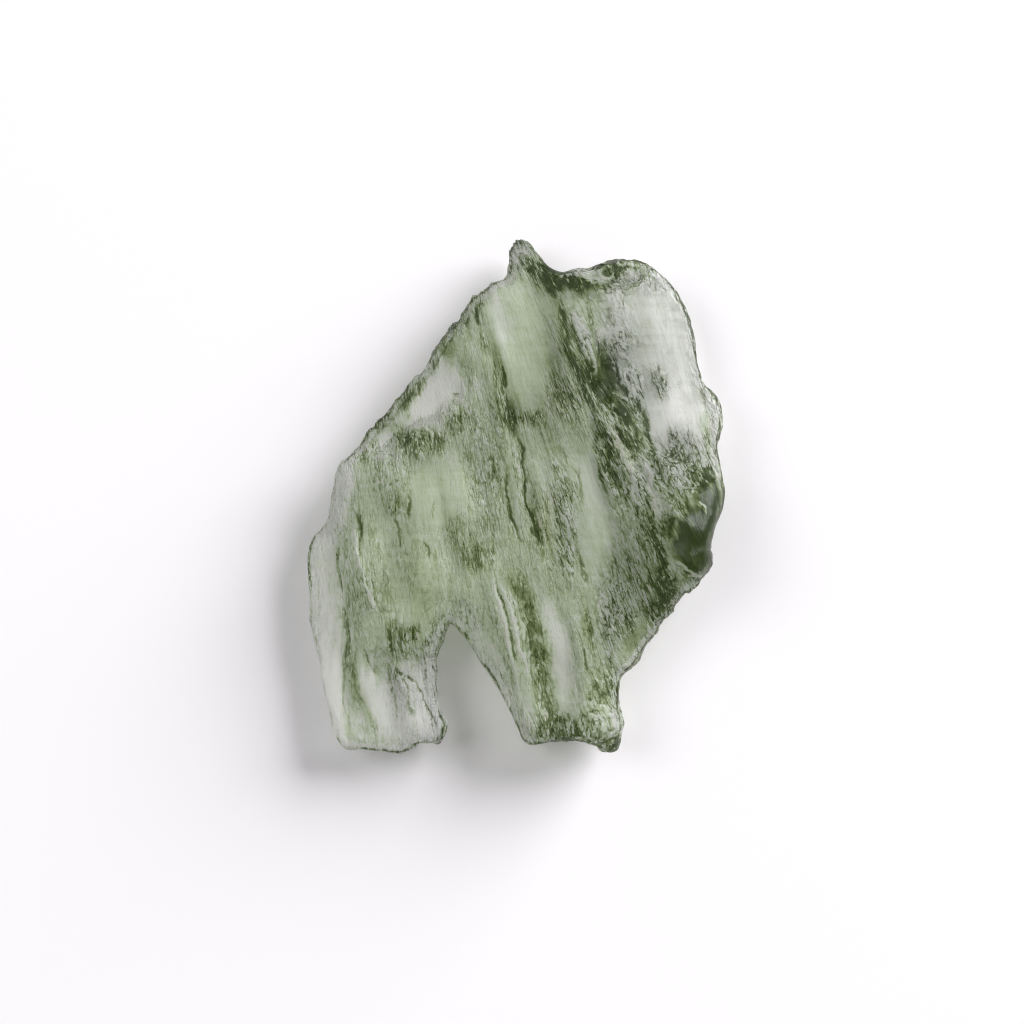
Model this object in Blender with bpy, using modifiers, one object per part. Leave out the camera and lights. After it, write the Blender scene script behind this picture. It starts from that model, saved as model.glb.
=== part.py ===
"""A moldavite: one flat splash of green natural glass, lying on its back.

Seen from above it has a blunt horn on its upper edge, a rounded right shoulder, a long sloping
upper-left edge, and a narrow notch that parts two feet at the bottom. Its face is fluted from
top to bottom, with a shallow scoop at the upper right, a small deep pit beside it, and a thick
lobe on the right edge.

Frame: +Z up, +Y towards the horn, +X across. The origin is under the middle of the outline, on
the surface that the stone rests on. All sizes below are millimetres.
"""

import math
from typing import NamedTuple

import bmesh
import bpy
import numpy as np
from mathutils import Matrix, Vector, noise

MM = 0.001
NAME = "moldavite"

# The stone's overall length, and the length that it has as drawn with all the sizes below.
LENGTH = 25.7
DRAWN_LENGTH = 25.7

# Height of the rim and of the face's middle, and the least glass at the rim and above it.
RIM_HEIGHT = 1.35
BODY_TOP = 3.5
LEAST_EDGE = 0.35
LEAST_GLASS = 0.75

# How far in from the rim the glass reaches its full thickness: gently on the left, steeply on
# the right.
LEFT_ROUNDING = 2.4
RIGHT_ROUNDING = 1.1

# The back is a shallow bowl of glass with a small flat spot, on which the stone rests.
BACK_RISE = 0.62
REST_SPOT_CENTRE = (0.8, -0.6)
REST_SPOT_RADII = (3.6, 4.8)

# Fine relief everywhere: wrinkles that run with the flutes, and shallow etched dents. The back
# has others than the face, which reach their full height a little way out from the rest spot.
FLOW_LEAN = math.radians(12)
WRINKLE_WIDTH = 1.1
WRINKLE_LENGTH = 5.0
WRINKLE_HEIGHT = 0.34
DENT_WIDTH = 2.6
DENT_DEPTH = 0.3
BACK_SEED = 40.0
BACK_BLEND = 3.0

# How finely the stone is worked, and how many facets it ends with.
CURVE_STEPS = 3
WELD_GAP = 0.0001
WORKING_CELL = 0.18
SMOOTHING_ROUNDS = 1
FACETS = 9400
FLAT_WITHIN = 0.02

# The outline in plan, clockwise from the horn's left root, by named stretches.
HORN = (
    (-0.35, 10.78), (-0.32, 11.40), (-0.25, 12.10), (-0.05, 12.60), (0.25, 12.82),
    (0.52, 12.80), (0.90, 12.40), (1.30, 11.90), (1.75, 11.27),
)
CREST = (
    (2.10, 11.17), (2.45, 11.02), (2.80, 11.25), (3.80, 11.22), (4.25, 11.50),
    (4.70, 11.67), (5.40, 11.75), (6.15, 11.72), (6.75, 11.47),
)
SHOULDER = (
    (7.30, 11.07), (7.85, 10.50), (8.40, 9.72), (8.70, 8.77), (9.00, 7.67), (9.15, 6.67),
    (9.40, 5.72), (9.85, 5.17), (10.15, 4.37), (10.27, 3.57), (10.10, 2.77), (10.05, 2.22),
)
RIGHT_LOBE = (
    (10.25, 1.57), (10.32, 0.67), (10.40, -0.17), (10.20, -0.92), (9.90, -1.57),
    (9.85, -2.02), (9.65, -2.40), (9.85, -2.92), (9.75, -3.47), (9.20, -4.17), (8.95, -4.57),
)
LOWER_RIGHT = (
    (8.45, -4.77), (8.05, -5.27), (7.70, -5.92), (7.25, -6.37), (7.10, -6.82),
    (6.55, -7.37), (6.30, -7.82), (5.70, -8.57), (5.27, -8.92),
)
RIGHT_FOOT = (
    (5.17, -9.67), (5.20, -10.52), (5.35, -11.27), (5.20, -12.12), (4.95, -12.65),
    (4.60, -12.67), (4.05, -12.37), (3.40, -12.20), (2.35, -12.15), (1.40, -12.30),
    (0.50, -12.30),
)
NOTCH = (
    (0.25, -11.82), (-0.25, -10.72), (-0.75, -9.67), (-1.25, -8.82), (-1.75, -8.22),
    (-2.10, -7.57), (-2.40, -7.07), (-2.85, -6.57), (-3.20, -6.17), (-3.40, -6.42),
    (-3.47, -6.92), (-3.75, -7.47), (-3.90, -8.22), (-3.95, -9.17), (-3.85, -10.02),
    (-3.67, -10.77), (-3.40, -11.07), (-3.45, -11.62),
)
LEFT_FOOT = (
    (-3.70, -12.37), (-4.10, -12.25), (-4.70, -12.27), (-5.15, -12.62), (-5.55, -12.82),
    (-6.35, -12.77), (-7.50, -12.65), (-8.40, -12.57), (-8.80, -12.22), (-9.10, -11.72),
)
LEFT_SIDE = (
    (-9.25, -10.82), (-9.55, -9.67), (-9.75, -8.27), (-10.00, -7.17), (-10.15, -6.42),
    (-10.20, -5.42), (-10.25, -4.42), (-10.35, -3.47), (-10.27, -2.57), (-10.12, -2.02),
    (-9.75, -1.67), (-9.32, -1.32), (-9.10, -0.42), (-8.90, 0.62), (-8.70, 1.47),
    (-8.45, 1.82),
)
UPPER_LEFT = (
    (-7.90, 2.32), (-7.55, 2.87), (-7.30, 3.27), (-6.80, 3.77), (-6.40, 4.17),
    (-5.90, 4.87), (-5.60, 5.12), (-5.20, 5.77), (-4.55, 6.27), (-4.25, 6.87),
    (-3.90, 7.37), (-3.50, 8.07), (-3.00, 8.52), (-2.45, 9.37), (-2.10, 9.87),
    (-1.50, 10.22), (-1.10, 10.60), (-0.70, 10.80),
)
OUTLINE = (
    HORN + CREST + SHOULDER + RIGHT_LOBE + LOWER_RIGHT
    + RIGHT_FOOT + NOTCH + LEFT_FOOT + LEFT_SIDE + UPPER_LEFT
)


class Swell(NamedTuple):
    """A broad rise, or a hollow where the height is negative, on an oval plan."""

    centre: tuple
    radii: tuple
    turn: float
    height: float


class Ledge(NamedTuple):
    """A step down beside a path, which runs out at some reach from it.

    It goes down on the left of the path, looking along it from above, or on the right where the
    drop is negative.
    """

    path: tuple
    drop: float
    reach: float


class Flute(NamedTuple):
    """A long ridge, or a groove where the height is negative, that fades out at its two ends."""

    path: tuple
    half_width: float
    height: float


FACE_SWELLS = (
    Swell((8.8, -2.2), (2.4, 3.2), 10, 2.1),  # the thick lobe on the right edge
    Swell((6.9, 6.3), (2.1, 4.6), -8, -1.35),  # the smooth scoop
    Swell((7.6, 3.6), (1.7, 1.9), 0, -0.5),  # the scoop's deeper end
    Swell((4.5, 5.6), (0.7, 1.2), -10, -1.7),  # the pit
    Swell((0.4, 12.2), (1.0, 1.4), 0, -0.4),  # the horn's tip is lower than its root
    Swell((4.9, 11.2), (2.6, 0.7), 0, 0.9),  # the rolled crest
    Swell((2.4, 10.8), (0.9, 0.6), 0, 0.8),  # the crest's dark knot beside the horn
    Swell((1.0, 6.4), (1.2, 4.0), -4, -0.45),  # the clear window in the middle
    Swell((4.0, -1.0), (1.1, 3.4), 10, -0.5),  # the wide flute under the band
    Swell((-3.9, 4.7), (1.6, 1.9), -38, -0.7),  # the pale shoulder hollow
    Swell((-6.4, 2.5), (0.9, 1.0), 0, -0.55),  # the small hollow below it
    Swell((-5.2, 2.3), (1.3, 0.8), 10, 0.4),  # the knot between the two hollows
    Swell((-9.6, -5.0), (1.6, 6.5), 0, -1.2),  # the thin left side
    Swell((-6.5, -11.2), (3.2, 3.0), 0, -0.9),  # the thin left foot
    Swell((1.9, -9.6), (0.8, 3.2), 12, -0.4),  # the right foot's pale flute
    Swell((4.1, -11.1), (0.9, 1.0), 0, 0.6),  # the toe
    Swell((3.0, -11.6), (2.2, 0.7), 0, 0.5),  # the thick sole of the right foot
    Swell((-0.6, -9.6), (0.7, 2.2), 26, -0.6),  # the thin edge along the notch
)

LEDGE_SOFTNESS = 0.22
FACE_LEDGES = (
    # the thin band down the left side
    Ledge(((-8.6, -12.6), (-8.3, -9.6), (-8.1, -6.4), (-8.5, -3.0), (-9.1, -0.6)), 0.7, 2.6),
    # the scoop's left wall, which drops from the band of ridges
    Ledge(((9.2, 0.4), (7.3, 2.2), (6.1, 3.8), (5.0, 5.2), (3.9, 7.4), (3.5, 10.2)), -0.6, 2.0),
    # the shoulder's hollow under the upper-left edge
    Ledge(((-7.4, 1.6), (-5.6, 3.0), (-3.4, 4.2), (-2.0, 6.4)), 0.5, 2.2),
    # the clear window's left side
    Ledge(((-1.4, 9.8), (-0.9, 7.0), (-0.4, 4.0)), 0.3, 1.6),
    # the left foot, below its V-shaped edge
    Ledge(((-3.9, -7.4), (-5.8, -8.1), (-7.9, -7.2)), 0.4, 3.4),
)

# The band of ridges that crosses the stone from its crest to the right lobe lies between these.
BAND_LOWER_SIDE = (
    (2.1, 9.2), (3.2, 6.3), (4.1, 4.1), (5.1, 2.4), (6.2, 0.5), (7.3, -1.6), (7.7, -3.4),
)
BAND_UPPER_SIDE = (
    (3.3, 9.8), (3.9, 6.6), (5.1, 4.5), (6.3, 3.0), (7.1, 1.6), (8.2, 0.4), (9.4, -0.2),
)
BAND_RIDGES = 3
BAND_RIDGE_WIDTH = 0.24
BAND_RIDGE_HEIGHT = 0.6
BAND_GROOVE_DEPTH = 0.4

FACE_FLUTES = (
    # the lobe's sharp lower edge, and the ridge that crosses its foot
    Flute(((8.0, -2.7), (8.8, -3.5), (9.3, -4.1)), 0.22, 0.4),
    Flute(((6.8, -0.2), (7.8, -1.2), (8.2, -2.0)), 0.22, 0.35),
    # the lip along the right edge
    Flute(((9.1, 7.0), (9.5, 4.8), (9.6, 2.8), (9.8, 1.4)), 0.22, 0.3),
    # the dark groove down the middle, and the lesser ones beside it
    Flute(((-2.1, 9.6), (-1.1, 7.6), (-0.3, 5.0), (0.0, 3.4)), 0.22, -0.4),
    Flute(((-0.3, 4.8), (0.2, 2.8), (0.6, 0.8), (1.0, -2.2)), 0.22, -0.5),
    Flute(((-0.3, 0.2), (0.1, -1.2), (0.4, -2.6)), 0.18, -0.3),
    Flute(((-1.0, 5.8), (-0.5, 3.0), (-0.1, 0.4)), 0.24, 0.35),
    # the ridges on either side of the clear window
    Flute(((-1.6, 9.4), (-0.7, 7.2), (-0.1, 5.0)), 0.22, 0.3),
    Flute(((1.6, 9.6), (2.3, 7.0), (3.0, 4.2)), 0.26, 0.25),
    # the ridges and the olive groove of the right foot
    Flute(((-1.7, -2.4), (-0.8, -6.0), (0.1, -9.0), (0.9, -11.6)), 0.24, 0.45),
    Flute(((-0.9, -3.0), (-0.1, -6.0), (0.6, -8.2)), 0.2, 0.35),
    Flute(((0.0, -4.4), (0.8, -7.0), (1.5, -9.6), (1.9, -11.6)), 0.36, -0.35),
    Flute(((2.6, -4.9), (3.1, -7.6), (3.6, -10.4)), 0.26, 0.35),
    Flute(((4.2, -3.6), (4.3, -6.4), (4.6, -9.6)), 0.3, -0.3),
    # the left half's long ribs
    Flute(((-8.2, -1.3), (-7.6, -3.6), (-6.9, -5.8)), 0.22, 0.5),
    Flute(((-7.0, 0.4), (-6.4, -2.4), (-5.6, -5.4)), 0.3, -0.35),
    Flute(((-5.6, 1.2), (-5.0, -1.6), (-4.4, -5.2)), 0.34, 0.3),
    Flute(((-4.2, 1.8), (-3.6, -1.2), (-3.0, -4.4)), 0.3, -0.3),
    Flute(((-2.9, 1.6), (-2.4, -1.4), (-2.0, -4.6)), 0.3, 0.25),
    # the left foot's fan of flutes
    Flute(((-7.8, -7.6), (-7.6, -9.4), (-7.0, -12.0)), 0.24, 0.4),
    Flute(((-7.0, -7.9), (-6.2, -9.6), (-5.9, -12.2)), 0.22, -0.3),
    Flute(((-6.0, -8.2), (-5.3, -9.8), (-5.2, -12.0)), 0.22, 0.35),
    Flute(((-5.2, -8.4), (-4.5, -9.8), (-4.1, -11.6)), 0.2, -0.3),
    Flute(((-4.2, -6.9), (-4.3, -9.0), (-4.0, -11.0)), 0.18, 0.3),
)

BACK_FLUTES = (
    Flute(((-7.6, 1.5), (-7.2, -4.0), (-6.4, -11.5)), 0.7, -0.45),
    Flute(((-3.6, 5.5), (-3.0, 0.0), (-4.8, -5.5)), 0.6, -0.3),
    Flute(((3.0, 10.4), (5.6, 4.0), (7.4, -3.0)), 0.8, -0.45),
    Flute(((6.8, 10.2), (8.4, 4.2)), 0.7, 0.4),
    Flute(((0.8, -6.0), (2.6, -11.6)), 0.6, -0.4),
)

GLASS_GREEN = (0.30, 0.37, 0.24, 1.0)
GLASS_IOR = 1.49


def clear_scene():
    """Removes every object that the startup file holds."""
    for obj in list(bpy.data.objects):
        bpy.data.objects.remove(obj, do_unlink=True)


def centred(points):
    """The points moved so that the middle of their box is at the origin."""
    points = np.array(points, float)
    return points - (points.min(axis=0) + points.max(axis=0)) / 2


def outline_curve(points):
    """The outline as a flat closed curve with smooth handles, filled and given its thickness."""
    curve = bpy.data.curves.new(f"{NAME}_outline", "CURVE")
    curve.dimensions = "2D"
    curve.fill_mode = "BOTH"
    curve.extrude = BODY_TOP / 2
    curve.resolution_u = CURVE_STEPS
    spline = curve.splines.new("BEZIER")
    spline.bezier_points.add(len(points) - 1)
    for knot, (x, y) in zip(spline.bezier_points, points, strict=True):
        knot.co = (x, y, 0.0)
        knot.handle_left_type = "AUTO"
        knot.handle_right_type = "AUTO"
    spline.use_cyclic_u = True
    return bpy.data.objects.new(curve.name, curve)


def segment_distances(places, start, end):
    """Each place's distance to one straight segment, and its share of the way along it."""
    way = end - start
    share = np.clip(((places - start) @ way) / (way @ way), 0.0, 1.0)
    return np.linalg.norm(places - start - share[:, None] * way, axis=1), share


def rim_distance(places, outline):
    """Each place's distance to the outline."""
    ends = np.roll(outline, -1, axis=0)
    spans = zip(outline, ends, strict=True)
    return np.min([segment_distances(places, a, b)[0] for a, b in spans], axis=0)


def nearest_on_path(places, path):
    """Each place's distance to a path, its share of the way along, and the side it is on."""
    path = np.array(path, float)
    lengths = np.linalg.norm(np.diff(path, axis=0), axis=1)
    starts = np.concatenate([[0.0], np.cumsum(lengths)])
    nearest = np.full(len(places), np.inf)
    along, side = np.zeros(len(places)), np.zeros(len(places))
    for index, length in enumerate(lengths):
        start, way = path[index], path[index + 1] - path[index]
        distance, share = segment_distances(places, start, path[index + 1])
        closer = distance < nearest
        nearest = np.where(closer, distance, nearest)
        along = np.where(closer, starts[index] + share * length, along)
        left = way[0] * (places[:, 1] - start[1]) - way[1] * (places[:, 0] - start[0])
        side = np.where(closer, np.sign(left), side)
    return nearest, along / starts[-1], side


def swell_height(places, swell):
    """A smooth oval hill: its full height at the centre, and about a third of that at its radii."""
    turn = math.radians(swell.turn)
    x, y = (places - np.array(swell.centre)).T
    across = (x * math.cos(turn) + y * math.sin(turn)) / swell.radii[0]
    along = (y * math.cos(turn) - x * math.sin(turn)) / swell.radii[1]
    return swell.height * np.exp(-(across**2) - along**2)


def ends_fade(share):
    """Full strength in the middle of a path, and nothing at its two ends."""
    return np.sin(math.pi * np.clip(share, 0.0, 1.0)) ** 0.5


def flute_height(places, flute):
    """A ridge with a soft crest along its path, fading in and out at the two ends."""
    distance, share, _ = nearest_on_path(places, flute.path)
    return flute.height * ends_fade(share) * np.exp(-((distance / flute.half_width) ** 2))


def ledge_height(places, ledge):
    """A step down on one side of its path, which runs out with distance from the path."""
    distance, share, side = nearest_on_path(places, ledge.path)
    below = 0.5 + 0.5 * np.tanh(side * distance / LEDGE_SOFTNESS)
    if ledge.drop < 0:
        below = 1.0 - below
    return -abs(ledge.drop) * below * ends_fade(share) * np.exp(-((distance / ledge.reach) ** 2))


def band_height(places):
    """The band's ridges, evenly spaced between its two sides, with a groove between each two."""
    lower, upper = np.array(BAND_LOWER_SIDE), np.array(BAND_UPPER_SIDE)
    height = np.zeros(len(places))
    for step in range(2 * BAND_RIDGES - 1):
        path = lower + (upper - lower) * step / (2 * BAND_RIDGES - 2)
        rise = -BAND_GROOVE_DEPTH if step % 2 else BAND_RIDGE_HEIGHT
        height += flute_height(places, Flute(tuple(map(tuple, path)), BAND_RIDGE_WIDTH, rise))
    return height


def wrinkles(places, seed):
    """Long low wrinkles along the flow of the glass, and broad dents between them."""
    cosine, sine = math.cos(FLOW_LEAN), math.sin(FLOW_LEAN)
    relief = []
    for x, y in places:
        across, along = x * cosine + y * sine, y * cosine - x * sine
        fold = noise.noise(Vector((across / WRINKLE_WIDTH, along / WRINKLE_LENGTH, seed)))
        dent = noise.noise(Vector((x / DENT_WIDTH, y / DENT_WIDTH, seed + 1.0)))
        relief.append(WRINKLE_HEIGHT * (0.5 - abs(fold)) + DENT_DEPTH * dent)
    return np.array(relief)


def edge_share(places, outline):
    """How much of the full thickness stands at each place: a quarter round from the rim inwards."""
    half_width = np.abs(outline[:, 0]).max()
    rounding = np.interp(places[:, 0], (-half_width, half_width), (LEFT_ROUNDING, RIGHT_ROUNDING))
    inwards = np.clip(rim_distance(places, outline) / rounding, 0.0, 1.0)
    return np.sqrt(1.0 - (1.0 - inwards) ** 2)


def face_heights(places, share):
    """The upper surface's height at each place."""
    height = BODY_TOP + wrinkles(places, 0.0) + band_height(places)
    for swell in FACE_SWELLS:
        height += swell_height(places, swell)
    for ledge in FACE_LEDGES:
        height += ledge_height(places, ledge)
    for flute in FACE_FLUTES:
        height += flute_height(places, flute)
    height = np.maximum(height, RIM_HEIGHT + LEAST_GLASS)
    edge = RIM_HEIGHT + LEAST_EDGE / 2
    return edge + (height - edge) * share


def back_heights(places, share):
    """The underside's height at each place, which is zero all over the flat rest spot."""
    edge = RIM_HEIGHT - LEAST_EDGE / 2
    spot = (places - np.array(REST_SPOT_CENTRE)) / np.array(REST_SPOT_RADII)
    outside = np.clip(np.linalg.norm(spot, axis=1) - 1.0, 0.0, None)
    relief = -wrinkles(places, BACK_SEED)
    for flute in BACK_FLUTES:
        relief -= flute_height(places, flute)
    rise = BACK_RISE * outside + relief * np.clip(outside * BACK_BLEND, 0.0, 1.0)
    rise = edge * np.tanh(np.clip(rise, 0.0, None) / edge)
    return edge + (rise - edge) * share


def evaluated_mesh(obj):
    """The object's mesh as its curve settings and modifiers leave it. The object itself goes."""
    bpy.context.scene.collection.objects.link(obj)
    evaluated = obj.evaluated_get(bpy.context.evaluated_depsgraph_get())
    mesh = bpy.data.meshes.new_from_object(evaluated)
    bpy.data.objects.remove(obj)
    return mesh


def weld(mesh, gap):
    """Joins the points of a mesh that lie on each other."""
    bm = bmesh.new()
    bm.from_mesh(mesh)
    bmesh.ops.remove_doubles(bm, verts=bm.verts, dist=gap)
    bm.to_mesh(mesh)
    bm.free()


def remeshed(mesh, cell):
    """The same closed shape in small even cells."""
    obj = bpy.data.objects.new(NAME, mesh)
    remesh = obj.modifiers.new("even_cells", "REMESH")
    remesh.mode = "VOXEL"
    remesh.voxel_size = cell
    return evaluated_mesh(obj)


def faceted(mesh, facets):
    """The same shape, softened, with a number of triangles that lie closest where it bends most."""
    obj = bpy.data.objects.new(NAME, mesh)
    obj.modifiers.new("softened", "SMOOTH").iterations = SMOOTHING_ROUNDS
    decimate = obj.modifiers.new("facets", "DECIMATE")
    decimate.ratio = facets / (2 * len(mesh.polygons))
    decimate.use_collapse_triangulate = True
    return evaluated_mesh(obj)


def points_of(mesh):
    """The mesh's points as rows of x, y and z."""
    flat = np.empty(len(mesh.vertices) * 3)
    mesh.vertices.foreach_get("co", flat)
    return flat.reshape(-1, 3)


def set_points(mesh, points):
    """Moves the mesh's points to new places."""
    mesh.vertices.foreach_set("co", points.ravel())
    mesh.update()


def shape_stone(mesh, outline):
    """Spreads the slab's even thickness between the stone's back and its face."""
    points = points_of(mesh)
    places = points[:, :2]
    low, high = points[:, 2].min(), points[:, 2].max()
    level = (points[:, 2] - low) / (high - low)
    share = edge_share(places, outline)
    back, face = back_heights(places, share), face_heights(places, share)
    points[:, 2] = back + (face - back) * level
    set_points(mesh, points)


def finish_rest_spot(mesh):
    """Makes the spot that the stone rests on exactly flat."""
    points = points_of(mesh)
    low = points[:, 2] < FLAT_WITHIN
    points[low, 2] = 0.0
    set_points(mesh, points)


def stone_mesh():
    """The closed stone, from a slab of the outline's shape."""
    outline = centred(OUTLINE)
    slab = evaluated_mesh(outline_curve(outline))
    weld(slab, WELD_GAP)
    cells = remeshed(slab, WORKING_CELL)
    shape_stone(cells, outline)
    stone = faceted(remeshed(cells, WORKING_CELL), FACETS)
    finish_rest_spot(stone)
    stone.transform(Matrix.Scale(MM * LENGTH / DRAWN_LENGTH, 4))
    stone.name = NAME
    stone.shade_smooth()
    return stone


def glass_material():
    """Clear grey-green glass."""
    material = bpy.data.materials.new("moldavite_glass")
    material.use_nodes = True
    shader = material.node_tree.nodes["Principled BSDF"]
    shader.inputs["Base Color"].default_value = GLASS_GREEN
    shader.inputs["Roughness"].default_value = 0.25
    shader.inputs["Metallic"].default_value = 0.0
    shader.inputs["IOR"].default_value = GLASS_IOR
    shader.inputs["Transmission Weight"].default_value = 0.8
    return material


def build():
    """Makes the stone in a collection named for it."""
    clear_scene()
    collection = bpy.data.collections.new(NAME)
    bpy.context.scene.collection.children.link(collection)
    stone = bpy.data.objects.new(NAME, stone_mesh())
    stone.data.materials.append(glass_material())
    collection.objects.link(stone)


build()
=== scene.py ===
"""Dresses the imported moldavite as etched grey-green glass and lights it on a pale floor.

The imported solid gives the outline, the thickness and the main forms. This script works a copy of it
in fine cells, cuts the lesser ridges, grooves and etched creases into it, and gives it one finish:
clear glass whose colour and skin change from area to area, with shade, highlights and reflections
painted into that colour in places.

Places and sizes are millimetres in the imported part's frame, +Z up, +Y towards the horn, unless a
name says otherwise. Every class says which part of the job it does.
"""

import logging
import math
from dataclasses import dataclass, field, fields
from enum import Enum

import bmesh
import bpy
import numpy as np
from mathutils import Matrix, Vector, noise
from mathutils.kdtree import KDTree


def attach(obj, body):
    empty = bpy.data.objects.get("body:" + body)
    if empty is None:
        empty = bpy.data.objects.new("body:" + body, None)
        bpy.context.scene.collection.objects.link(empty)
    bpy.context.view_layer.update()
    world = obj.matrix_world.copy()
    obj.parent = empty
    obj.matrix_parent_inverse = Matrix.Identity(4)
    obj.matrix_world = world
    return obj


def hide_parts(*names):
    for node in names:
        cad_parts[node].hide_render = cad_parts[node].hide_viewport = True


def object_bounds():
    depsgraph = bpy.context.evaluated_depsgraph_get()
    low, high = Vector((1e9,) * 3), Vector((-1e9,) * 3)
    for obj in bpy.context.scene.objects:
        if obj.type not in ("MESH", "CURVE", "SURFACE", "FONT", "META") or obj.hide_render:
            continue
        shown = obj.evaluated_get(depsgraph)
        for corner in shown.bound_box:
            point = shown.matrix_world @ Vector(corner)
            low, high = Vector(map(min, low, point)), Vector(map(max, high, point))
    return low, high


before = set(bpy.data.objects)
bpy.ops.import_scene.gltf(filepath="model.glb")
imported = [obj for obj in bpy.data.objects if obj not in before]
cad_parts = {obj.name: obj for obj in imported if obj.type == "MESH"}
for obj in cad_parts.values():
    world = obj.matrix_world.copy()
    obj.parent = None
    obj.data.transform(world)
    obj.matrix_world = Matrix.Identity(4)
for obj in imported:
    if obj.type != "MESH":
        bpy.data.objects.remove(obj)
CAD_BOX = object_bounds()

MM = 0.001
NODE = "moldavite"
BODY = "root"

log = logging.getLogger("moldavite")


@dataclass(frozen=True)
class Patch:
    """An oval area of the stone with its own depth of colour and its own surface.

    Attributes:
        centre: Middle of the oval in plan.
        radii: Half its width across and along, before it is turned.
        turn: Degrees that the oval is turned, anticlockwise from above.
        shade: How much deeper in colour it is than the stone's middle tone. Negative is paler. On some
            patches it is partly painted light: a paler one a painted reflection or highlight, a deeper one
            painted shade.
        etch: How much rougher its surface is than usual. Negative is smoother.
        warmth: How far its green leans to olive. Negative leans to grey.
    """

    centre: tuple[float, float]
    radii: tuple[float, float]
    turn: float
    shade: float
    etch: float = 0.0
    warmth: float = 0.0


@dataclass(frozen=True)
class Stroke:
    """A narrow ridge or groove along a path.

    Attributes:
        path: Its points in plan, from one end to the other.
        half_width: Half its width.
        height: How high it stands. Negative is a groove.
        shade: How much deeper in colour it is than what it crosses, as painted shade. Negative is paler, a
            painted highlight.
    """

    path: tuple[tuple[float, float], ...]
    half_width: float
    height: float
    shade: float


@dataclass(frozen=True)
class Ring:
    """A band that follows the stone's outline and differs in colour and surface.

    Attributes:
        inwards: How far in from the outline its middle runs.
        core: How far from its middle it is full.
        reach: How far from its middle it is gone.
        shade, etch, warmth: What it adds, as in a patch.
        only_upper: Whether the part that faces down or sideways goes without it.
    """

    inwards: float
    core: float
    reach: float
    shade: float = 0.0
    etch: float = 0.0
    warmth: float = 0.0
    only_upper: bool = False


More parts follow.
